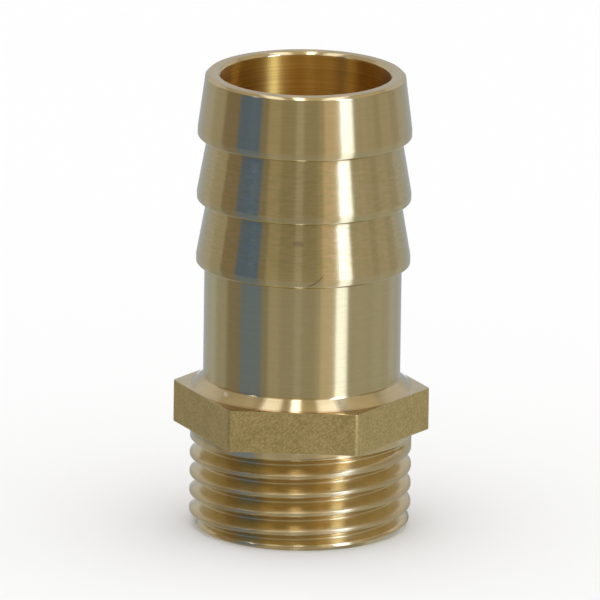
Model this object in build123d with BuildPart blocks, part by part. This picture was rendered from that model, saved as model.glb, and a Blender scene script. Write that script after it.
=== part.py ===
from build123d import *
from math import radians, tan
import os

# Levels along the axis, measured up from the threaded end's face
overall_length = 43.8
hexagon_underside = 9.6
hexagon_top = 13.6
shoulder_cone_top = 14.6
lowest_barb_level = 25.5
barb_pitch = 6.15

# Shank and barbs that the hose is pushed over
shank_radius = 9.3
barb_count = 3
barb_crest_radius = 10.1
barb_root_radius = 9.15
barb_land_length = 0.75
barb_edge_break = 0.15

# Hose end's rim and the bore right through
rim_flat_radius = 9.2
rim_chamfer_radial = 0.25
rim_chamfer_axial = 0.22
bore_radius = 8.0
bore_chamfer = 0.25

# Hexagon for the spanner, and the turned cone that leads from it to the shank
hexagon_sides = 6
across_flats = 21.0
hexagon_corner_round = 0.4
shoulder_cone_foot_radius = 10.4

# Parallel pipe thread G 1/2, right hand, cut on a bar turned a little under the nominal size
thread_pitch = 1.814
thread_nominal_radius = 10.4775
thread_flank_angle = 27.5
thread_depth_ratio = 0.640327
thread_bar_radius = 10.45
lead_in_face_radius = 9.8
lead_in_length = 0.9

# Where the full thread ends, and how the groove then runs out of the metal
thread_turns = 6
thread_end_level = 8.18
thread_end_angle = 272.0
run_out_offset = 1.5
run_out_angle = 85.0
groove_clearance = 0.25
full_turn_angle = 360.0


def barb_outline(step_level, foot_radius):
    """Points of one barb: its square step outwards, the broken edge and the land above that."""
    return [
        (foot_radius, step_level),
        (barb_crest_radius - barb_edge_break, step_level),
        (barb_crest_radius, step_level + barb_edge_break),
        (barb_crest_radius, step_level + barb_land_length),
    ]


# Turned outline in half section: threaded end, shoulder cone, shank, barbs and rim
outline = [
    (0, 0),
    (lead_in_face_radius, 0),
    (thread_bar_radius, lead_in_length),
    (thread_bar_radius, hexagon_underside),
    (shoulder_cone_foot_radius, hexagon_top),
    (shank_radius, shoulder_cone_top),
]
for index in range(barb_count):
    foot_radius = shank_radius if index == 0 else barb_root_radius
    outline += barb_outline(lowest_barb_level + index * barb_pitch, foot_radius)
outline += [
    (rim_flat_radius + rim_chamfer_radial, overall_length - rim_chamfer_axial),
    (rim_flat_radius, overall_length),
    (0, overall_length),
]

# Thread groove in section: straight flanks down to a flat root at the thread form's full depth
thread_depth = thread_depth_ratio * thread_pitch
root_radius = thread_nominal_radius - thread_depth
pitch_radius = thread_nominal_radius - thread_depth / 2
mouth_radius = thread_bar_radius + groove_clearance
flank_run = tan(radians(thread_flank_angle))
pitch_half_width = thread_pitch / 4
root_half_width = pitch_half_width - (pitch_radius - root_radius) * flank_run
mouth_half_width = pitch_half_width + (mouth_radius - pitch_radius) * flank_run
thread_start_level = thread_end_level - thread_turns * thread_pitch

# The run-out follows a wider turn about an offset axis, at the same lead angle
run_out_radius = pitch_radius + run_out_offset
run_out_pitch = thread_pitch * run_out_radius / pitch_radius
run_out_rise = run_out_pitch * run_out_angle / full_turn_angle

with BuildPart() as thread_groove:
    with BuildSketch(Plane((0, 0, thread_start_level), x_dir=(1, 0, 0), z_dir=(0, -1, 0))):
        with BuildLine():
            Polyline(
                (root_radius, -root_half_width),
                (root_radius, root_half_width),
                (mouth_radius, mouth_half_width),
                (mouth_radius, -mouth_half_width),
                close=True,
            )
        make_face()
    with BuildLine() as groove_path:
        Helix(
            thread_pitch,
            thread_turns * thread_pitch,
            pitch_radius,
            center=(0, 0, thread_start_level),
        )
        Helix(
            run_out_pitch,
            run_out_rise,
            run_out_radius,
            center=(-run_out_offset, 0, thread_end_level),
        )
    sweep(path=groove_path.wire(), is_frenet=True)

with BuildPart() as hose_tail:
    # Hexagon with its corners rounded as the bar's are
    with BuildSketch(Plane.XY.offset(hexagon_underside)):
        RegularPolygon(across_flats / 2, hexagon_sides, major_radius=False)
    extrude(amount=hexagon_top - hexagon_underside)
    fillet(hose_tail.edges().filter_by(Axis.Z), hexagon_corner_round)

    # Everything turned about the axis
    with BuildSketch(Plane.XZ):
        with BuildLine():
            Polyline(*outline, close=True)
        make_face()
    revolve(axis=Axis.Z)

    # Bore right through, with both its mouths chamfered
    with Locations((0, 0, overall_length)):
        Hole(bore_radius)
    bore_mouths = hose_tail.edges().filter_by(
        lambda edge: edge.geom_type == GeomType.CIRCLE
        and abs(edge.radius - bore_radius) < bore_chamfer
    )
    chamfer(bore_mouths, bore_chamfer)

    # Thread cut last, through the lead-in chamfer
    add(thread_groove.part, rotation=(0, 0, thread_end_angle), mode=Mode.SUBTRACT)

hose_tail.part.label = "hose tail"

os.makedirs("parts", exist_ok=True)
export_step(hose_tail.part, "parts/hose_tail.step")
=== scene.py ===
from collections import namedtuple
from math import atan2, cos, hypot, pi, radians, sin, sqrt, tan

import bmesh
import bpy
from mathutils import Matrix, Quaternion, Vector


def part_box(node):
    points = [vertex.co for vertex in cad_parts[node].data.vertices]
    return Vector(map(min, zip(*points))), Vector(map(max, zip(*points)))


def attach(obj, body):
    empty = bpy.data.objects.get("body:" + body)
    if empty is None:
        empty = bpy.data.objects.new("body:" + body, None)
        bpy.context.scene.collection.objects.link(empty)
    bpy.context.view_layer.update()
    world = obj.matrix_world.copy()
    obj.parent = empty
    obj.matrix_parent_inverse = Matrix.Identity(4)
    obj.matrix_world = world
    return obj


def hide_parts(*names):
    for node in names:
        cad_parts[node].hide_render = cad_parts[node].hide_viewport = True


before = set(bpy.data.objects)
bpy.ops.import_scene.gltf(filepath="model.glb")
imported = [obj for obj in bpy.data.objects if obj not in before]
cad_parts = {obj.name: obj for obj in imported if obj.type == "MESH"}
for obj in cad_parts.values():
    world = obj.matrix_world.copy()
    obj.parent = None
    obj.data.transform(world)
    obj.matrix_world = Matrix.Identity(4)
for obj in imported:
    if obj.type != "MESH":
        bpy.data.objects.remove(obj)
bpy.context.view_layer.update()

bl_info = {
    "name": "Hose tail",
    "version": (1, 0, 0),
    "blender": (4, 5, 0),
    "location": "3D View > Sidebar > Hose tail",
    "description": "A turned brass hose tail and the studio that it stands in",
    "category": "Add Mesh",
}

NODE = "hose_tail"
NODE_LOW, NODE_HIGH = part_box(NODE)

# Numbers of the material slots
TURNED_SLOT, THREAD_SLOT, BORE_SLOT, BLASTED_SLOT = range(4)

# Number of barbs
BARBS = 3

# Fineness of the mesh
TURNED_STEPS = 240
THREAD_STEPS = 144
THREAD_ARC_STEPS = 5
FLANK_CUTS = 2
CORNER_SEGMENTS = 5
SECTION_SEGMENTS = 3
HEXAGON_EDGE_SEGMENTS = 2

# Turns of thread wound before its ends are cut off square, and whole turns under the groove's end
TURNS_WOUND = 9
WHOLE_TURNS_UNDER_END = 5

# End of the groove, in turns: where the metal over it closes, how soon, and the run-out's period
COVER_START = 0.7
COVER_BLEND = 0.1
RUN_OUT_TURNS = 1.2

# Width of the blend at the shoulder cone's top, as a multiple of the smallest broken edge
CONE_BLEND = 3.0

# Distances in metres that count as none
SAME_POINT = 1e-6
SAME_LEVEL = 1e-7
ON_CUT = 1e-9

# Angles of edges and slopes of faces that tell one kind from another
SHARP_ANGLE = radians(38.0)
HEXAGON_EDGE_ANGLE = radians(57.0)
UPRIGHT_FACE = 0.3
LEVEL_FACE = 0.99

# Lines or grain of each finish, its clouds, how both change its tone and roughness, and its relief
Texture = namedtuple("Texture", "fineness clouds fine_share cloud_share tones uneven relief")
TURNED = Texture(
    fineness=11000.0,
    clouds=160.0,
    fine_share=0.5,
    cloud_share=0.2,
    tones=(0.25, 0.75),
    uneven=0.08,
    relief=0.0000005,
)
THREAD = Texture(
    fineness=7000.0,
    clouds=350.0,
    fine_share=0.5,
    cloud_share=0.5,
    tones=(0.35, 0.6),
    uneven=0.12,
    relief=0.0000008,
)
BORE = Texture(
    fineness=6000.0,
    clouds=220.0,
    fine_share=0.6,
    cloud_share=0.4,
    tones=(0.3, 0.7),
    uneven=0.15,
    relief=0.000001,
)
BLASTED = Texture(
    fineness=(4600.0, 5500.0, 2500.0),
    clouds=700.0,
    fine_share=0.8,
    cloud_share=0.2,
    tones=(0.3, 0.7),
    uneven=0.2,
    relief=0.000012,
)

# Tool's lines: how they change round the axis and over level faces, and the specks between them
LINES_ROUND = 50.0
LINES_SLANT = 0.45
SPECKS = 9000.0
SPECKS_SHARE = 0.3

# Turn that stretches a reflection across the tool's lines
GRAIN_TURN = 0.25

# Reddish and olive streaks on the two lower barbs, and the darker front of those barbs
STREAKS = (1000.0, 1000.0, 4500.0)
STREAKS_SPLIT = (0.36, 0.62)
STREAKS_FOOT = (0.0262, 0.0278)
STREAKS_TOP = (0.0362, 0.0378)
STREAKS_SHARE = 0.34
STREAKS_EVERYWHERE = 0.1
FRONT_PLACE = -0.0004
FRONT_REACH = (0.0014, 0.0032)
FRONT_SHARE = 0.14

# Smudge and scratch on the lowest barb: place across and up, size in metres, and strength
SMUDGE_PLACE = (0.0002, 0.02972)
SMUDGE_SIZE = (0.0007, 0.0004)
SMUDGE_BREAKS = (0.3, 0.6)
SMUDGE_SHARE = 0.45
SCRATCH_PLACE = (0.0011, 0.02582)
SCRATCH_BEND = 420.0
SCRATCH_WIDTH = (0.00003, 0.00011)
SCRATCH_MIDDLE = 0.0019
SCRATCH_REACH = (0.00045, 0.0009)
SCRATCH_SHARE = 0.65

# Where a round mark starts to fade, from 0 in its middle to 1 at its edge
SPOT_FADE = 0.1

# Painted glint, a light spot at the shank's foot, and reddish line at the foot of the shoulder cone
GLINT_PLACE = (-0.0066, 0.01426)
GLINT_SIZE = (0.0003, 0.00022)
GLINT_TONE = (0.95, 0.76, 0.60)
GLINT_SHARE = 0.7
THIN_LINE = (0.00002, 0.00007)
FOOT_LEVEL = 0.01366
FOOT_REACH = (0.004, 0.007)
FOOT_TONE = (0.42, 0.20, 0.08)
FOOT_SHARE = 0.5

# Broken line of painted shadow over the thread's last turn, painted shade in the corner of the land
# above it, crests and roots
EDGE_SHADOW_LEVEL = 0.00898
EDGE_SHADOW_SLOPE = 0.05
EDGE_SHADOW_REACH = (0.00336, 0.0048)
EDGE_SHADOW_BREAKS = (0.4, 0.6)
EDGE_SHADOW_SHARE = 0.7
LAND_SHADE_FOOT = (0.0088, 0.0094)
LAND_SHADE_CORNER = (-0.0085, -0.0045)
LAND_SHADE_SHARE = 0.45
CREST = (0.0101, 0.0103)
CREST_TOP = (0.0086, 0.009)
CREST_SHARE = 0.16
CREST_ROUGHER = 0.12
ROOT = (0.0093, 0.0096)
ROOT_ROUGHER = 0.1

# Floor, camera and lamp of the studio
FLOOR_SIZE = 1.5
SENSOR_WIDTH = 36.0
CLIP_NEAR = 0.1
CLIP_FAR = 6.0
LAMP_SIZE = 1.2
LAMP_LEVEL = 1.6
LAMP_STRENGTH = 1.0

# Step of the bent cards, in degrees
CARD_STEP = 4.0

# Studio wall that the brass mirrors: its size, and where its low tone meets its high one
WALL_RADIUS = 0.3
WALL_LOW = -0.4
WALL_HIGH = 0.28
FRONT_SPLIT = -0.02
BACK_SPLIT = 0.05
WINDOW_SPLIT = 0.13

# Tints of the wall's cards: the low one, then the high one
GREY = ((0.95, 1.0, 1.06), (1.05, 1.0, 0.84))
SIDE = ((0.92, 1.0, 1.10), (1.0, 1.0, 1.0))
EDGE = ((0.88, 1.0, 1.18), (0.96, 1.0, 1.12))
BROWN = ((1.0, 1.0, 0.97), (1.1, 1.0, 0.9))
BLUE = ((0.4, 0.58, 1.05), (0.24, 0.45, 1.12))
AMBER = ((1.0, 1.0, 1.0), (1.12, 1.0, 0.92))
DAYLIGHT = ((0.51, 0.61, 0.9), (0.69, 0.92, 1.7))

# Cards of the wall: name, first and last bearing, low and high strength, tints and where they meet
WALL_CARDS = (
    ("blue", -76.5, -48.5, 0.53, 0.45, BLUE, FRONT_SPLIT),
    ("front edge", -48.5, -40.0, 0.33, 0.28, GREY, FRONT_SPLIT),
    ("front left", -40.0, -26.0, 0.47, 0.43, GREY, FRONT_SPLIT),
    ("front dim", -26.0, -9.0, 0.43, 0.34, GREY, FRONT_SPLIT),
    ("front line", -9.0, -1.0, 0.47, 0.50, SIDE, FRONT_SPLIT),
    ("front", -1.0, 15.0, 0.44, 0.35, GREY, FRONT_SPLIT),
    ("front warm", 15.0, 21.0, 0.51, 0.42, GREY, FRONT_SPLIT),
    ("window frame", 21.0, 39.2, 0.68, 0.64, AMBER, FRONT_SPLIT),
    ("window", 39.2, 53.4, 3.2, 15.0, DAYLIGHT, WINDOW_SPLIT),
    ("window shade", 53.4, 64.0, 0.50, 0.48, SIDE, FRONT_SPLIT),
    ("right", 64.0, 80.0, 0.53, 0.52, SIDE, FRONT_SPLIT),
    ("right dim", 80.0, 89.0, 0.51, 0.44, SIDE, FRONT_SPLIT),
    ("far right", 89.0, 106.0, 0.55, 0.51, SIDE, FRONT_SPLIT),
    ("far right dim", 106.0, 120.0, 0.52, 0.43, SIDE, FRONT_SPLIT),
    ("right edge", 120.0, 135.0, 0.60, 0.52, EDGE, FRONT_SPLIT),
    ("back right", 135.0, 172.0, 0.53, 0.60, EDGE, BACK_SPLIT),
    ("back window", 172.0, 188.0, 1.8, 0.62, EDGE, BACK_SPLIT),
    ("back left", 188.0, 225.0, 0.53, 0.60, EDGE, BACK_SPLIT),
    ("left edge", 225.0, 240.0, 0.57, 0.52, EDGE, FRONT_SPLIT),
    ("left", 240.0, 262.0, 0.45, 0.46, SIDE, FRONT_SPLIT),
    ("brown", 262.0, 283.5, 0.29, 0.26, BROWN, FRONT_SPLIT),
)

# Cards in front of the wall: name, first and last bearing, lower and upper edge, and tone
HIGH_RADIUS = 0.296
HIGH_CARDS = (
    ("high right", 70.0, 116.0, 0.08, 0.18, (0.26, 0.21, 0.15)),
    ("high left", 244.0, 290.0, 0.08, 0.18, (0.26, 0.21, 0.15)),
    ("high edge right", 116.0, 152.0, 0.09, 0.275, (0.70, 0.72, 0.86)),
    ("high edge left", 208.0, 244.0, 0.09, 0.275, (0.70, 0.72, 0.86)),
    ("high lamp", -68.0, -60.0, 0.2, 0.27, (3.2, 3.5, 4.4)),
)

# Cards over the tail: name, front and back edge as (distance back, left end, right end), and tone
OVER_LEVEL = 0.27
OVER_CARDS = (
    ("over left", (-0.09, -0.135, -0.065), (0.16, -0.068, -0.042), (1.6, 1.7, 2.2)),
    ("over left, front", (-0.21, -0.24, -0.105), (-0.09, -0.135, -0.065), (1.5, 1.55, 1.7)),
    ("over middle", (-0.09, -0.031, -0.005), (0.16, -0.014, -0.005), (4.2, 4.3, 5.4)),
    ("over middle, front", (-0.21, -0.044, 0.0), (-0.09, -0.031, -0.005), (4.2, 4.3, 5.4)),
    ("over right", (-0.09, 0.051, 0.125), (0.16, 0.042, 0.066), (1.9, 2.0, 2.7)),
    ("over right, front", (-0.21, 0.09, 0.2), (-0.09, 0.051, 0.125), (1.3, 1.35, 1.5)),
    ("over far right", (-0.09, 0.16, 0.33), (0.16, 0.09, 0.33), (0.67, 0.63, 0.58)),
    ("over far left", (-0.09, -0.33, -0.16), (0.16, -0.33, -0.09), (0.58, 0.54, 0.52)),
    ("over right gap", (-0.09, -0.004, 0.05), (0.16, -0.004, 0.041), (0.66, 0.61, 0.48)),
)
OVER_TONE = (0.44, 0.40, 0.37)

# Cards in front of the tail and under it, in the same way, which its thread mirrors
LOW_LEVEL = -0.2
LOW_GAP = 0.002
LOW_CARDS = (
    ("low left", (-0.24, -0.30, -0.157), (-0.06, -0.077, -0.039), (0.70, 0.72, 0.66)),
    ("low middle", (-0.24, -0.05, 0.003), (-0.06, -0.0126, 0.001), (2.0, 2.2, 3.0)),
    ("low right", (-0.24, 0.095, 0.20), (-0.06, 0.024, 0.05), (0.68, 0.66, 0.60)),
    ("low window", (-0.2, 0.19, 0.33), (-0.06, 0.057, 0.099), (1.8, 2.5, 5.0)),
    ("low", (-0.28, -0.28, 0.28), (-0.03, -0.28, 0.28), (0.42, 0.43, 0.37)),
)
UNDER_TONE = (0.30, 0.29, 0.27)

# Half width of the level cards that close the wall's ends
END_REACH = WALL_RADIUS * 1.1


def length(name, description, default):
    """A size in metres."""
    return bpy.props.FloatProperty(
        name=name, description=description, default=default, min=0.0, precision=5, unit="LENGTH"
    )


def angle(name, description, degrees):
    """An angle, given in degrees."""
    return bpy.props.FloatProperty(
        name=name, description=description, default=radians(degrees), subtype="ANGLE"
    )


def fraction(name, description, default):
    """A number from 0 to 1."""
    return bpy.props.FloatProperty(
        name=name, description=description, default=default, min=0.0, max=1.0, subtype="FACTOR"
    )


def colour(name, description, default):
    """A linear colour."""
    return bpy.props.FloatVectorProperty(
        name=name, description=description, default=default, min=0.0, max=1.0, size=3, subtype="COLOR"
    )


# Properties
class TailSizes(bpy.types.PropertyGroup):
    """Sizes of the hose tail. Levels are measured up from its threaded end."""

    overall: length("Overall length", "From the threaded end's face to the rim", NODE_HIGH.z)
    bore_radius: length("Bore radius", "Wall of the bore, which goes right through", 0.008)
    bore_chamfer: length("Bore chamfer", "At both mouths of the bore", 0.00025)
    rim_radius: length("Rim radius", "Outer edge of the rim's flat", 0.0092)
    rim_chamfer_out: length("Rim chamfer, outwards", "Radial size of the rim's chamfer", 0.00025)
    rim_chamfer_down: length("Rim chamfer, down", "Size of the rim's chamfer along the axis", 0.00022)
    barb_level: length("Lowest barb", "Level of the lowest barb's square step", 0.0255)
    barb_pitch: length("Barb pitch", "From one barb's step to the next", 0.00615)
    barb_radius: length("Barb radius", "Land of each barb", 0.0101)
    barb_root: length("Barb root radius", "Where a barb's cone meets the next step", 0.00915)
    barb_land: length("Barb land", "From the step to the land's top", 0.00075)
    barb_break: length("Barb edge break", "Chamfer on the edge of each step", 0.00015)
    shank_radius: length("Shank radius", "Plain shank below the barbs", 0.0093)
    cone_top: length("Shoulder cone top", "Level where the shoulder cone meets the shank", 0.0146)
    cone_foot: length("Shoulder cone foot", "Radius where the cone meets the hexagon's top", 0.0104)
    hexagon_top: length("Hexagon top", "Level of the hexagon's turned top", 0.0136)
    hexagon_low: length("Hexagon underside", "Level of the hexagon's underside", 0.0096)
    across_flats: length("Across flats", "Spanner size of the hexagon", NODE_HIGH.y - NODE_LOW.y)
    corner_round: length("Corner round", "Radius of the hexagon's corners", 0.0004)
    edge_round: length("Edge round", "Width of the smallest broken edges", 0.00005)
    thread_radius: length("Thread radius", "Nominal radius over the thread's crests", 0.0104775)
    thread_pitch: length("Thread pitch", "14 threads to the inch", 0.001814)
    crest_round: length("Crest rounding", "Radius of the thread's crests", 0.00025)
    root_round: length("Root rounding", "Radius of the thread's roots", 0.00015)
    thread_flank: angle("Flank angle", "Half of the angle between the thread's flanks", 27.5)
    bar_radius: length("Bar radius", "Turned bar that the thread is cut on", 0.01045)
    lead_radius: length("Lead-in radius", "Outer edge of the threaded end's face", 0.0098)
    lead_length: length("Lead-in length", "Chamfer that leads into the thread", 0.0009)
    thread_end: length("Thread end", "Level where the groove starts to run out", 0.00818)
    thread_end_angle: angle("Thread end angle", "Bearing where the groove starts to run out", 272.0)
    run_out: length("Run-out offset", "How far off the axis the run-out's turn is centred", 0.0015)


class TailFinish(bpy.types.PropertyGroup):
    """Colours and finish of the brass."""

    brass: colour("Brass", "Freshly turned brass", (0.64, 0.50, 0.245))
    brass_dull: colour("Dull brass", "Brass between the tool's lines", (0.57, 0.44, 0.208))
    thread_brass: colour("Thread brass", "Thread, cut clean by the die", (0.73, 0.56, 0.275))
    thread_brass_dull: colour("Dull thread brass", "Between the die's lines", (0.66, 0.50, 0.235))
    # The two bore tones are deeper orange than the outside brass: painted interreflection from the
    # bore's own wall
    bore_brass: colour("Bore brass", "Wall of the bore", (0.78, 0.46, 0.095))
    bore_brass_dull: colour("Dull bore brass", "Bore between the drill's lines", (0.55, 0.31, 0.053))
    blasted: colour("Blasted brass", "Grain on the hexagon's flats", (0.72, 0.53, 0.205))
    blasted_dark: colour("Blasted brass, pits", "Pits between the grain", (0.46, 0.33, 0.11))
    worn: colour("Worn brass", "Reddish streaks on the lower barbs", (0.68, 0.50, 0.27))
    olive: colour("Olive brass", "Streaks between the reddish ones", (0.52, 0.45, 0.17))
    # Colour of the smudges and scratches, and also of the painted shadow over the thread's last turn
    # and the painted shade in the land's corner
    mark: colour("Mark", "Smudges and scratches", (0.20, 0.155, 0.08))
    turned_roughness: fraction("Turned roughness", "Turned faces", 0.2)
    turned_grain: fraction("Turned grain", "How much the tool's lines stretch a reflection", 0.95)
    thread_roughness: fraction("Thread roughness", "Flanks of the thread", 0.21)
    thread_grain: fraction("Thread grain", "How much the die's lines stretch a reflection", 0.85)
    bore_roughness: fraction("Bore roughness", "Drilled wall of the bore", 0.36)
    blasted_roughness: fraction("Blasted roughness", "Flats of the hexagon", 0.55)


class Studio(bpy.types.PropertyGroup):
    """Camera, floor and light."""

    distance: length("Camera distance", "From the middle of the tail", 2.0)
    target: length("Camera height", "Level on the axis that the camera looks at", 0.022)
    bearing: angle("Camera bearing", "Round the axis from straight in front of a flat", 4.1)
    elevation: angle("Camera elevation", "Above the horizon", 15.08)
    roll: angle("Camera roll", "About the line of sight", 0.816)
    focal: bpy.props.FloatProperty(
        name="Focal length", description="In millimetres", default=1274.4, unit="CAMERA"
    )
    shift_right: bpy.props.FloatProperty(
        name="Shift, right", description="Share of the picture's width", default=-0.00438
    )
    shift_up: bpy.props.FloatProperty(
        name="Shift, up", description="Share of the picture's width", default=-0.00405
    )
    floor: colour("Floor", "Paper that the tail stands on", (0.93, 0.93, 0.93))
    fill: fraction("Fill light", "Strength of the light from all round", 0.92)


# Shader graphs
class Value:
    """A socket of a shader graph. Arithmetic on it adds Math nodes."""

    def __init__(self, graph, socket):
        self.graph = graph
        self.socket = socket

    def math(self, operation, *numbers):
        """Result of a Math node on those numbers or values."""
        return self.graph.add("Math", {"operation": operation}, dict(enumerate(numbers)))

    def __add__(self, other):
        return self.math("ADD", self, other)

    def __radd__(self, other):
        return self.math("ADD", other, self)

    def __sub__(self, other):
        return self.math("SUBTRACT", self, other)

    def __rsub__(self, other):
        return self.math("SUBTRACT", other, self)

    def __mul__(self, other):
        return self.math("MULTIPLY", self, other)

    def __rmul__(self, other):
        return self.math("MULTIPLY", other, self)

    def __truediv__(self, other):
        return self.math("DIVIDE", self, other)

    def __rtruediv__(self, other):
        return self.math("DIVIDE", other, self)

    def __pow__(self, other):
        return self.math("POWER", self, other)

    def __abs__(self):
        return self.math("ABSOLUTE", self)

    def most(self, other):
        """The larger of two values."""
        return self.math("MAXIMUM", self, other)

    def below(self, limit):
        """1 under the limit, 0 from there up."""
        return self.math("LESS_THAN", self, limit)

    def ramp(self, low, high):
        """0 at low, 1 at high, and smooth between them."""
        return self.graph.add(
            "MapRange",
            {"interpolation_type": "SMOOTHSTEP"},
            {"Value": self, "From Min": low, "From Max": high},
        )

    def near(self, centre, full, reach):
        """1 within full of the centre, 0 past reach, and smooth between them."""
        return 1.0 - abs(self - centre).ramp(full, reach)


class Graph:
    """Nodes of one material or world."""

    def __init__(self, owner):
        owner.use_nodes = True
        self.tree = owner.node_tree
        self.tree.nodes.clear()

    def add(self, kind, settings=None, inputs=None, output=0):
        """Add a node of that kind, set it, fill its sockets, and return one of its outputs."""
        node = self.tree.nodes.new("ShaderNode" + kind)
        for key, value in (settings or {}).items():
            setattr(node, key, value)
        for key, value in (inputs or {}).items():
            if isinstance(value, Value):
                self.tree.links.new(value.socket, node.inputs[key])
            else:
                node.inputs[key].default_value = value
        return Value(self, node.outputs[output]) if node.outputs else node

    def mix(self, share, first, second):
        """First colour where share is 0, second where it is 1."""
        tones = [tone if isinstance(tone, Value) else (*tone, 1.0) for tone in (first, second)]
        return self.add(
            "Mix", {"data_type": "RGBA"}, {"Factor": share, 6: tones[0], 7: tones[1]}, output=2
        )

    def place(self):
        """Object coordinates: the vector, and x, y and z."""
        vector = self.add("TexCoord", output="Object")
        return vector, *(
            self.add("SeparateXYZ", None, {"Vector": vector}, output=axis) for axis in range(3)
        )

    def stretched(self, vector, stretch):
        """Coordinates multiplied along each axis."""
        return self.add("VectorMath", {"operation": "MULTIPLY"}, {0: vector, 1: stretch})

    def noise(self, vector, scale, detail=2.0, roughness=0.5):
        """Noise from about 0.3 to 0.7."""
        return self.add(
            "TexNoise",
            None,
            {"Vector": vector, "Scale": scale, "Detail": detail, "Roughness": roughness},
        )

    def metal(self, base, roughness, grain, height, depth):
        """Finish the graph as bare metal with a relief of that depth."""
        bump = self.add("Bump", None, {"Strength": 1.0, "Distance": depth, "Height": height})
        shader = self.add(
            "BsdfPrincipled",
            None,
            {
                "Base Color": base,
                "Metallic": 1.0,
                "Roughness": roughness,
                "Anisotropic": grain,
                "Anisotropic Rotation": GRAIN_TURN,
                "Normal": bump,
            },
        )
        self.add("OutputMaterial", None, {"Surface": shader})


def new_material(name):
    """An empty material and its graph."""
    material = bpy.data.materials.new(name)
    return material, Graph(material)


def lathe_lines(graph, x, y, z, fineness):
    """Fine lines that the tool leaves round the axis, on faces that lie along it or across it."""
    radius = (x * x + y * y) ** 0.5
    along = z + radius * LINES_SLANT
    ring = graph.add(
        "CombineXYZ", None, {0: x * LINES_ROUND, 1: y * LINES_ROUND, 2: along * fineness}
    )
    return graph.noise(ring, 1.0, detail=3.0, roughness=0.65)


def spot(x, z, place, size):
    """1 in the middle of an ellipse on the tail's front, and 0 outside it."""
    across = (x - place[0]) / size[0]
    up = (z - place[1]) / size[1]
    return 1.0 - (across * across + up * up).ramp(SPOT_FADE, 1.0)


def barb_marks(x, z, streaks):
    """A smudge and a curved scratch on the lowest barb."""
    smudge = spot(x, z, SMUDGE_PLACE, SMUDGE_SIZE) * streaks.ramp(*SMUDGE_BREAKS)
    run = x - SCRATCH_PLACE[0]
    level = z - run * run * SCRATCH_BEND
    line = level.near(SCRATCH_PLACE[1], *SCRATCH_WIDTH)
    scratch = line * x.near(SCRATCH_MIDDLE, *SCRATCH_REACH)
    return (smudge * SMUDGE_SHARE).most(scratch * SCRATCH_SHARE)


def thread_edge_shadow(x, z, clouds):
    """A thin broken line of painted shadow over the thread's last turn."""
    line = (z - x * EDGE_SHADOW_SLOPE).near(EDGE_SHADOW_LEVEL, *THIN_LINE) * x.near(0.0, *EDGE_SHADOW_REACH)
    return line * clouds.ramp(*EDGE_SHADOW_BREAKS)


def turned_brass(finish):
    """Turned faces: fine lines round the axis, a slow change of tone, the marks at the front, and a
    painted glint at the shank's foot.
    """
    material, graph = new_material("turned brass")
    vector, x, y, z = graph.place()
    front = y.below(0.0)
    lines = lathe_lines(graph, x, y, z, TURNED.fineness)
    clouds = graph.noise(vector, TURNED.clouds, detail=3.0)
    specks = graph.noise(vector, SPECKS, detail=1.0)
    tone = lines * TURNED.fine_share + clouds * TURNED.cloud_share + specks * SPECKS_SHARE
    base = graph.mix(tone.ramp(*TURNED.tones), finish.brass_dull, finish.brass)
    streaks = graph.noise(graph.stretched(vector, STREAKS), 1.0)
    worn = z.ramp(*STREAKS_FOOT) * (1.0 - z.ramp(*STREAKS_TOP))
    streaked = graph.mix(streaks.ramp(*STREAKS_SPLIT), finish.olive, finish.worn)
    base = graph.mix(worn * STREAKS_SHARE + STREAKS_EVERYWHERE, base, streaked)
    dark = worn * x.near(FRONT_PLACE, *FRONT_REACH) * front
    base = graph.mix(dark * FRONT_SHARE, base, finish.mark)
    base = graph.mix(barb_marks(x, z, streaks) * front, base, finish.mark)
    foot = z.near(FOOT_LEVEL, *THIN_LINE) * x.near(0.0, *FOOT_REACH)
    base = graph.mix(foot * FOOT_SHARE, base, FOOT_TONE)
    # Painted glint: a light spot at the shank's foot
    painted_glint = spot(x, z, GLINT_PLACE, GLINT_SIZE) * front
    base = graph.mix(painted_glint * GLINT_SHARE, base, GLINT_TONE)
    roughness = finish.turned_roughness + (clouds - 0.5) * TURNED.uneven
    graph.metal(base, roughness, finish.turned_grain, lines, TURNED.relief)
    return material


def thread_brass(finish):
    """Flanks of the thread, cut smoother than the turned faces, with duller crests and roots."""
    material, graph = new_material("thread brass")
    vector, x, y, z = graph.place()
    lines = lathe_lines(graph, x, y, z, THREAD.fineness)
    clouds = graph.noise(vector, THREAD.clouds, detail=3.0)
    tone = lines * THREAD.fine_share + clouds * THREAD.cloud_share
    base = graph.mix(tone.ramp(*THREAD.tones), finish.thread_brass_dull, finish.thread_brass)
    # Painted shadow: a broken dark line over the thread's last turn, at the front
    painted_edge_shadow = thread_edge_shadow(x, z, clouds) * y.below(0.0)
    base = graph.mix(painted_edge_shadow * EDGE_SHADOW_SHARE, base, finish.mark)
    # Painted shade: the land darker in its left corner, under the hexagon
    painted_land_shade = z.ramp(*LAND_SHADE_FOOT) * (1.0 - x.ramp(*LAND_SHADE_CORNER))
    base = graph.mix(painted_land_shade * LAND_SHADE_SHARE, base, finish.mark)
    radius = (x * x + y * y) ** 0.5
    crest = radius.ramp(*CREST) * (1.0 - z.ramp(*CREST_TOP))
    root = 1.0 - radius.ramp(*ROOT)
    base = graph.mix(crest * CREST_SHARE, base, finish.mark)
    roughness = finish.thread_roughness + (clouds - 0.5) * THREAD.uneven
    roughness = roughness + crest * CREST_ROUGHER + root * ROOT_ROUGHER
    graph.metal(base, roughness, finish.thread_grain, lines, THREAD.relief)
    return material


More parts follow.
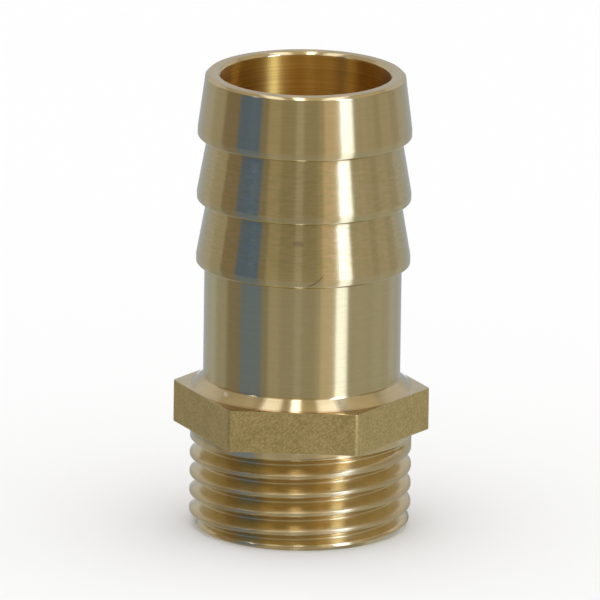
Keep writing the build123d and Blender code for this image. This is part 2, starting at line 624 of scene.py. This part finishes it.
def bore_brass(finish):
    """Drilled bore: coarser lines round the wall, on deeper orange tones that are painted
    interreflection from the bore's own wall.
    """
    material, graph = new_material("bore brass")
    vector, x, y, z = graph.place()
    lines = lathe_lines(graph, x, y, z, BORE.fineness)
    clouds = graph.noise(vector, BORE.clouds, detail=3.0)
    tone = lines * BORE.fine_share + clouds * BORE.cloud_share
    base = graph.mix(tone.ramp(*BORE.tones), finish.bore_brass_dull, finish.bore_brass)
    roughness = finish.bore_roughness + (clouds - 0.5) * BORE.uneven
    graph.metal(base, roughness, finish.turned_grain, lines, BORE.relief)
    return material


def blasted_brass(finish):
    """Flats of the hexagon: a slanted blasted grain."""
    material, graph = new_material("blasted brass")
    vector, x, y, z = graph.place()
    across, away, along = BLASTED.fineness
    slanted = graph.add("CombineXYZ", None, {0: (x - z) * across, 1: y * away, 2: (x + z) * along})
    grain = graph.noise(slanted, 1.0, detail=2.0, roughness=0.6)
    clouds = graph.noise(vector, BLASTED.clouds, detail=3.0)
    tone = grain * BLASTED.fine_share + clouds * BLASTED.cloud_share
    base = graph.mix(tone.ramp(*BLASTED.tones), finish.blasted_dark, finish.blasted)
    roughness = finish.blasted_roughness + (grain - 0.5) * BLASTED.uneven
    graph.metal(base, roughness, 0.0, grain, BLASTED.relief)
    return material


# Mesh helpers
def pen_start(bm, radius, level):
    """First point of a section in the XZ plane."""
    return bm.verts.new((radius, 0.0, level))


def pen_line(bm, start, radius, level, cuts=1):
    """Draw a straight run from a point of the section."""
    goal = Vector((radius, 0.0, level))
    step = (goal - start.co) / cuts
    for _ in range(cuts):
        made = bmesh.ops.extrude_vert_indiv(bm, verts=[start])
        start = made["verts"][0]
        bmesh.ops.translate(bm, vec=step, verts=[start])
    return start


def pen_arc(bm, start, radius, level, turn, steps):
    """Draw an arc from a point of the section, about a centre."""
    made = bmesh.ops.spin(
        bm, geom=[start], cent=(radius, 0.0, level), axis=(0.0, 1.0, 0.0), angle=turn, steps=steps
    )
    return made["geom_last"][0]


def round_off(bm, geom, width, segments, affect):
    """Bevel points of a section, or edges, with a round."""
    bmesh.ops.bevel(
        bm,
        geom=geom,
        offset=width,
        offset_type="OFFSET",
        segments=segments,
        profile=0.5,
        affect=affect,
        material=-1,
    )


def loops_at(bm, level):
    """Open edges that lie at one level."""
    return [
        edge
        for edge in bm.edges
        if edge.is_boundary and all(abs(vert.co.z - level) < SAME_LEVEL for vert in edge.verts)
    ]


def cap(bm, level, facing):
    """Fill between the open edges at one level."""
    return bmesh.ops.triangle_fill(
        bm, use_beauty=True, use_dissolve=False, edges=loops_at(bm, level), normal=(0.0, 0.0, facing)
    )


def turned_section(bm, sizes):
    """Section from the shoulder cone over the shank, barbs and rim, and down the bore."""
    bore_mouth = sizes.bore_radius + sizes.bore_chamfer
    pen = first = pen_start(bm, sizes.cone_foot, sizes.hexagon_top)
    blend = pen = pen_line(bm, pen, sizes.shank_radius, sizes.cone_top)
    foot = sizes.shank_radius
    for barb in range(BARBS):
        step = sizes.barb_level + barb * sizes.barb_pitch
        pen = pen_line(bm, pen, foot, step)
        pen = pen_line(bm, pen, sizes.barb_radius - sizes.barb_break, step)
        pen = pen_line(bm, pen, sizes.barb_radius, step + sizes.barb_break)
        pen = pen_line(bm, pen, sizes.barb_radius, step + sizes.barb_land)
        foot = sizes.barb_root
    pen = pen_line(
        bm, pen, sizes.rim_radius + sizes.rim_chamfer_out, sizes.overall - sizes.rim_chamfer_down
    )
    pen = pen_line(bm, pen, sizes.rim_radius, sizes.overall)
    pen = pen_line(bm, pen, bore_mouth, sizes.overall)
    pen = pen_line(bm, pen, sizes.bore_radius, sizes.overall - sizes.bore_chamfer)
    pen = pen_line(bm, pen, sizes.bore_radius, sizes.bore_chamfer)
    last = pen_line(bm, pen, bore_mouth, 0.0)
    corners = [vert for vert in bm.verts if vert not in (first, last, blend)]
    round_off(bm, corners, sizes.edge_round, SECTION_SEGMENTS, "VERTICES")
    round_off(bm, [blend], CONE_BLEND * sizes.edge_round, SECTION_SEGMENTS, "VERTICES")


def thread_radii(sizes):
    """Radius of the thread's pitch line and of its root."""
    quarter = sizes.thread_pitch / 4 / tan(sizes.thread_flank)
    spare = 1.0 / sin(sizes.thread_flank) - 1.0
    middle = sizes.thread_radius - quarter + sizes.crest_round * spare
    return middle, middle - quarter + sizes.root_round * spare


def groove_section(bm, sizes, level):
    """Section of one pitch of the thread, from crest to crest, with the groove at that level."""
    pitch = sizes.thread_pitch
    bend = pi / 2 - sizes.thread_flank
    crest_rise, crest_drop = sizes.crest_round * sin(bend), sizes.crest_round * cos(bend)
    root_rise, root_drop = sizes.root_round * sin(bend), sizes.root_round * cos(bend)
    low_crest = level - pitch / 2
    high_crest = level + pitch / 2
    crest_centre = sizes.thread_radius - sizes.crest_round
    root_centre = thread_radii(sizes)[1] + sizes.root_round
    pen = pen_start(bm, sizes.thread_radius, low_crest)
    pen = pen_arc(bm, pen, crest_centre, low_crest, -bend, THREAD_ARC_STEPS)
    pen = pen_line(bm, pen, root_centre - root_drop, level - root_rise, FLANK_CUTS)
    pen = pen_arc(bm, pen, root_centre, level, 2 * bend, THREAD_ARC_STEPS)
    pen = pen_line(bm, pen, crest_centre + crest_drop, high_crest - crest_rise, FLANK_CUTS)
    pen_arc(bm, pen, crest_centre, high_crest, -bend, THREAD_ARC_STEPS)


def thread_body(bm, sizes):
    """The thread, wound up the bar, run out below the hexagon and cut off square at both ends."""
    pitch = sizes.thread_pitch
    turns_under_end = WHOLE_TURNS_UNDER_END + sizes.thread_end_angle / (2 * pi)
    groove_section(bm, sizes, sizes.thread_end - turns_under_end * pitch)
    bmesh.ops.spin(
        bm,
        geom=bm.verts[:] + bm.edges[:],
        cent=(0.0, 0.0, 0.0),
        axis=(0.0, 0.0, 1.0),
        dvec=(0.0, 0.0, pitch / THREAD_STEPS),
        angle=2 * pi,
        steps=THREAD_STEPS,
    )
    one_turn = bm.verts[:] + bm.edges[:] + bm.faces[:]
    for index in range(1, TURNS_WOUND):
        made = bmesh.ops.duplicate(bm, geom=one_turn)
        verts = [item for item in made["geom"] if isinstance(item, bmesh.types.BMVert)]
        bmesh.ops.translate(bm, vec=(0.0, 0.0, index * pitch), verts=verts)
    bmesh.ops.remove_doubles(bm, verts=bm.verts[:], dist=SAME_POINT)
    for vert in bm.verts:
        fit_to_bar(vert, sizes)
    for level, below in ((0.0, True), (sizes.hexagon_low, False)):
        bmesh.ops.bisect_plane(
            bm,
            geom=bm.verts[:] + bm.edges[:] + bm.faces[:],
            dist=ON_CUT,
            plane_co=(0.0, 0.0, level),
            plane_no=(0.0, 0.0, 1.0),
            clear_inner=below,
            clear_outer=not below,
        )


def fit_to_bar(vert, sizes):
    """Lift the groove out of the metal past its end, and keep every point inside the turned bar."""
    pitch = sizes.thread_pitch
    turn = 2 * pi
    radius = hypot(vert.co.x, vert.co.y)
    bearing = (atan2(vert.co.y, vert.co.x) - sizes.thread_end_angle) / turn
    along = (vert.co.z - sizes.thread_end) / pitch - bearing
    groove = round(along)
    past_end = groove + bearing
    from_groove = along - groove
    middle, root = thread_radii(sizes)
    if from_groove > 0.0 and past_end > -COVER_START:
        flank = middle + (from_groove - 1 / 4) * pitch / tan(sizes.thread_flank)
        cover = min(1.0, (past_end + COVER_START) / COVER_BLEND)
        radius += cover * (max(flank, radius) - radius)
    if past_end > 0.0:
        radius += sizes.run_out * (1.0 - cos(min(past_end * turn / RUN_OUT_TURNS, pi)))
    lead = sizes.lead_radius + (sizes.bar_radius - sizes.lead_radius) * vert.co.z / sizes.lead_length
    radius = min(radius, sizes.bar_radius, max(lead, root))
    scale = radius / hypot(vert.co.x, vert.co.y)
    vert.co.x *= scale
    vert.co.y *= scale


def hexagon_body(bm, sizes):
    """Sides of the hexagon with rounded corners."""
    made = bmesh.ops.create_circle(
        bm, cap_ends=False, segments=6, radius=sizes.across_flats / sqrt(3.0)
    )
    width = sizes.corner_round * tan(pi / 6)
    round_off(bm, made["verts"], width, CORNER_SEGMENTS, "VERTICES")
    bmesh.ops.rotate(bm, matrix=Matrix.Rotation(pi / 6, 3, "Z"), verts=bm.verts[:])
    bmesh.ops.translate(bm, vec=(0.0, 0.0, sizes.hexagon_low), verts=bm.verts[:])
    made = bmesh.ops.extrude_edge_only(bm, edges=bm.edges[:])
    top = [item for item in made["geom"] if isinstance(item, bmesh.types.BMVert)]
    bmesh.ops.translate(bm, vec=(0.0, 0.0, sizes.hexagon_top - sizes.hexagon_low), verts=top)


def join(bm, part):
    """Add one bmesh to another."""
    mesh = bpy.data.meshes.new("part")
    part.to_mesh(mesh)
    part.free()
    bm.from_mesh(mesh)
    bpy.data.meshes.remove(mesh)


def hexagon_edges(bm, sizes, level):
    """Sharp edges round the hexagon at one level."""
    inside = sizes.across_flats / 2 - SAME_POINT
    found = []
    for edge in bm.edges:
        level_edge = all(abs(vert.co.z - level) < SAME_LEVEL for vert in edge.verts)
        outer_edge = all(hypot(*vert.co.xy) > inside for vert in edge.verts)
        if level_edge and outer_edge and edge.calc_face_angle(0.0) > HEXAGON_EDGE_ANGLE:
            found.append(edge)
    return found


def finish_of(face, sizes):
    """Number of the material slot that a face takes."""
    middle = face.calc_center_median()
    radius = hypot(middle.x, middle.y)
    upright = abs(face.normal.z) < UPRIGHT_FACE
    if upright and radius < sizes.bore_radius + SAME_POINT:
        return BORE_SLOT
    outside = radius > sizes.bore_radius + sizes.bore_chamfer
    under_hexagon = middle.z < sizes.hexagon_low - SAME_POINT
    if outside and under_hexagon and face.normal.z > -LEVEL_FACE:
        return THREAD_SLOT
    if upright and sizes.hexagon_low < middle.z < sizes.hexagon_top:
        return BLASTED_SLOT
    return TURNED_SLOT


def build_tail(sizes):
    """Mesh of the whole tail, closed and with its finishes numbered."""
    bm = bmesh.new()
    turned_section(bm, sizes)
    bmesh.ops.spin(
        bm,
        geom=bm.verts[:] + bm.edges[:],
        cent=(0.0, 0.0, 0.0),
        axis=(0.0, 0.0, 1.0),
        angle=2 * pi,
        steps=TURNED_STEPS,
        use_merge=True,
    )
    for make in (thread_body, hexagon_body):
        part = bmesh.new()
        make(part, sizes)
        join(bm, part)
    cap(bm, 0.0, -1.0)
    cap(bm, sizes.hexagon_low, -1.0)
    cap(bm, sizes.hexagon_top, 1.0)
    bmesh.ops.recalc_face_normals(bm, faces=bm.faces[:])
    for level, share in ((sizes.hexagon_top, 1.0), (sizes.hexagon_low, 0.5)):
        edges = hexagon_edges(bm, sizes, level)
        round_off(bm, edges, sizes.edge_round * share, HEXAGON_EDGE_SEGMENTS, "EDGES")
    for face in bm.faces:
        face.smooth = True
        face.material_index = finish_of(face, sizes)
    for edge in bm.edges:
        threaded = all(face.material_index == THREAD_SLOT for face in edge.link_faces)
        edge.smooth = threaded or edge.calc_face_angle(0.0) < SHARP_ANGLE
    open_edges = sum(not edge.is_manifold for edge in bm.edges)
    if open_edges:
        raise RuntimeError(f"the tail's mesh has {open_edges} open edges")
    mesh = bpy.data.meshes.new("hose_tail_brass")
    bm.to_mesh(mesh)
    bm.free()
    return mesh


# Operators
class HoseTailBody(bpy.types.Operator):
    """Build the brass hose tail: thread, hexagon, shank, barbs and bore in one piece"""

    bl_idname = "hose_tail.body"
    bl_label = "Brass body"

    def execute(self, context):
        sizes = context.scene.hose_tail_sizes
        finish = context.scene.hose_tail_finish
        body = bpy.data.objects.new("hose_tail_brass", build_tail(sizes))
        context.collection.objects.link(body)
        for make in (turned_brass, thread_brass, bore_brass, blasted_brass):
            body.data.materials.append(make(finish))
        even = body.modifiers.new("Even shading", "WEIGHTED_NORMAL")
        even.keep_sharp = True
        even.weight = 100
        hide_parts(NODE)
        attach(body, "root")
        return {"FINISHED"}


def bearing_of(studio, degrees):
    """Unit vector towards a bearing, counted to the right from the camera's own."""
    turn = studio.bearing + radians(degrees)
    return Vector((sin(turn), -cos(turn), 0.0))


def glow(name, tone):
    """Material of a lit card, with its light as a linear colour."""
    material, graph = new_material(name)
    light = graph.add("Emission", None, {"Color": (*tone, 1.0), "Strength": 1.0})
    graph.add("OutputMaterial", None, {"Surface": light})
    return material


def stand_card(context, bm, name, tones):
    """Put up a card that only the metal mirrors, with a tone for each of its material slots."""
    mesh = bpy.data.meshes.new(name)
    bm.to_mesh(mesh)
    bm.free()
    for index, tone in enumerate(tones):
        mesh.materials.append(glow(f"{name} {index}", tone))
    card = bpy.data.objects.new(name, mesh)
    card.visible_camera = False
    card.visible_diffuse = False
    card.visible_shadow = False
    card.visible_transmission = False
    card.visible_volume_scatter = False
    context.collection.objects.link(card)


def bent_card(context, studio, name, ends, radius, levels, tones):
    """A bent upright card between two bearings, with one tone between each level and the next."""
    start, end = ends
    bm = bmesh.new()
    pen = bm.verts.new(bearing_of(studio, start) * radius + Vector((0.0, 0.0, levels[0])))
    for low, high in zip(levels, levels[1:]):
        made = bmesh.ops.extrude_vert_indiv(bm, verts=[pen])
        pen = made["verts"][0]
        bmesh.ops.translate(bm, vec=(0.0, 0.0, high - low), verts=[pen])
    bmesh.ops.spin(
        bm,
        geom=bm.verts[:] + bm.edges[:],
        cent=(0.0, 0.0, 0.0),
        axis=(0.0, 0.0, 1.0),
        angle=radians(end - start),
        steps=max(2, round((end - start) / CARD_STEP)),
    )
    for face in bm.faces:
        middle = face.calc_center_median().z
        face.material_index = sum(middle > level for level in levels[1:])
    stand_card(context, bm, name, tones)


def level_card(context, studio, name, level, front, back, tone):
    """A level card. Each of its two edges is (distance back, left end, right end)."""
    bm = bmesh.new()
    right, away = bearing_of(studio, 90.0), -bearing_of(studio, 0.0)
    corners = [
        bm.verts.new(right * side + away * distance + Vector((0.0, 0.0, level)))
        for distance, *sides in (front, back)
        for side in sides
    ]
    bmesh.ops.contextual_create(bm, geom=corners)
    stand_card(context, bm, name, (tone,))


def soft_lamp(context, name, size, level, strength):
    """A level soft box right over the tail."""
    data = bpy.data.lights.new(name, "AREA")
    data.size = size
    data.energy = strength * pi * size * size
    lamp = bpy.data.objects.new(name, data)
    lamp.location.z = level
    context.collection.objects.link(lamp)


class HoseTailStudio(bpy.types.Operator):
    """Set up the camera, the floor, the soft light and the cards that the brass mirrors"""

    bl_idname = "hose_tail.studio"
    bl_label = "Studio"

    def execute(self, context):
        studio = context.scene.hose_tail_studio
        self.camera(context, studio)
        self.floor(context, studio)
        self.cards(context, studio)
        self.lamps(context, studio)
        self.world(context, studio)
        context.scene.view_settings.view_transform = "Standard"
        return {"FINISHED"}

    def camera(self, context, studio):
        """Camera of the photograph."""
        data = bpy.data.cameras.new("camera")
        data.lens = studio.focal
        data.sensor_width = SENSOR_WIDTH
        data.shift_x = studio.shift_right
        data.shift_y = studio.shift_up
        data.clip_start = CLIP_NEAR
        data.clip_end = CLIP_FAR
        camera = bpy.data.objects.new("camera", data)
        back = bearing_of(studio, 0.0) * cos(studio.elevation)
        back.z = sin(studio.elevation)
        camera.location = Vector((0.0, 0.0, studio.target)) + back * studio.distance
        camera.rotation_mode = "QUATERNION"
        upright = (-back).to_track_quat("-Z", "Y")
        camera.rotation_quaternion = upright @ Quaternion((0.0, 0.0, 1.0), studio.roll)
        context.collection.objects.link(camera)
        context.scene.camera = camera

    def floor(self, context, studio):
        """White paper floor."""
        bm = bmesh.new()
        bmesh.ops.create_grid(bm, x_segments=1, y_segments=1, size=FLOOR_SIZE)
        mesh = bpy.data.meshes.new("floor")
        bm.to_mesh(mesh)
        bm.free()
        floor = bpy.data.objects.new("floor", mesh)
        material, graph = new_material("floor paper")
        paper = graph.add("BsdfDiffuse", None, {"Color": (*studio.floor, 1.0)})
        graph.add("OutputMaterial", None, {"Surface": paper})
        mesh.materials.append(material)
        floor.visible_glossy = False
        context.collection.objects.link(floor)

    def cards(self, context, studio):
        """Cards all round, over and under the tail, which give the brass its streaks."""
        for name, start, end, low, high, tints, split in WALL_CARDS:
            tones = [[part * strength for part in tint] for tint, strength in zip(tints, (low, high))]
            levels = (WALL_LOW, split, WALL_HIGH)
            bent_card(context, studio, "card " + name, (start, end), WALL_RADIUS, levels, tones)
        for name, start, end, low, high, tone in HIGH_CARDS:
            levels = (low, high)
            bent_card(context, studio, "card " + name, (start, end), HIGH_RADIUS, levels, (tone,))
        for name, front, back, tone in OVER_CARDS:
            level_card(context, studio, "card " + name, OVER_LEVEL, front, back, tone)
        for index, (name, front, back, tone) in enumerate(LOW_CARDS):
            level = LOW_LEVEL - LOW_GAP * index
            level_card(context, studio, "card " + name, level, front, back, tone)
        front = (-END_REACH, -END_REACH, END_REACH)
        back = (END_REACH, -END_REACH, END_REACH)
        for name, level, tone in (("over", WALL_HIGH, OVER_TONE), ("under", WALL_LOW, UNDER_TONE)):
            level_card(context, studio, "card " + name, level, front, back, tone)

    def lamps(self, context, studio):
        """One wide soft box over the cards, for the floor and its shadow."""
        soft_lamp(context, "lamp", LAMP_SIZE, LAMP_LEVEL, LAMP_STRENGTH)

    def world(self, context, studio):
        """White all round, and an even fill light."""
        world = bpy.data.worlds.new("studio")
        context.scene.world = world
        graph = Graph(world)
        rays = ("Is Camera Ray", "Is Glossy Ray", "Is Transmission Ray")
        seen, mirrored, through = (graph.add("LightPath", output=ray) for ray in rays)
        white = graph.add("Background", None, {"Color": (1.0, 1.0, 1.0, 1.0), "Strength": 1.0})
        fill = graph.add("Background", None, {"Color": (1.0, 1.0, 1.0, 1.0), "Strength": studio.fill})
        shown = seen.most(mirrored).most(through)
        mixed = graph.add("MixShader", None, {0: shown, 1: fill, 2: white})
        graph.add("OutputWorld", None, {"Surface": mixed})


class HoseTailPanel(bpy.types.Panel):
    """Sizes, finish and studio of the hose tail"""

    bl_idname = "VIEW3D_PT_hose_tail"
    bl_label = "Hose tail"
    bl_space_type = "VIEW_3D"
    bl_region_type = "UI"
    bl_category = "Hose tail"

    def draw(self, context):
        scene = context.scene
        for group in (scene.hose_tail_sizes, scene.hose_tail_finish, scene.hose_tail_studio):
            column = self.layout.column()
            for name in type(group).__annotations__:
                column.prop(group, name)
        for operator in OPERATORS:
            self.layout.operator(operator.bl_idname)


GROUPS = {
    "hose_tail_sizes": TailSizes,
    "hose_tail_finish": TailFinish,
    "hose_tail_studio": Studio,
}
OPERATORS = (HoseTailBody, HoseTailStudio)
CLASSES = (*GROUPS.values(), *OPERATORS, HoseTailPanel)


def register():
    for cls in CLASSES:
        bpy.utils.register_class(cls)
    for name, group in GROUPS.items():
        setattr(bpy.types.Scene, name, bpy.props.PointerProperty(type=group))


def unregister():
    for name in GROUPS:
        delattr(bpy.types.Scene, name)
    for cls in reversed(CLASSES):
        bpy.utils.unregister_class(cls)


def main():
    """Build the tail and its studio."""
    register()
    bpy.ops.hose_tail.body()
    bpy.ops.hose_tail.studio()


if __name__ == "__main__":
    main()
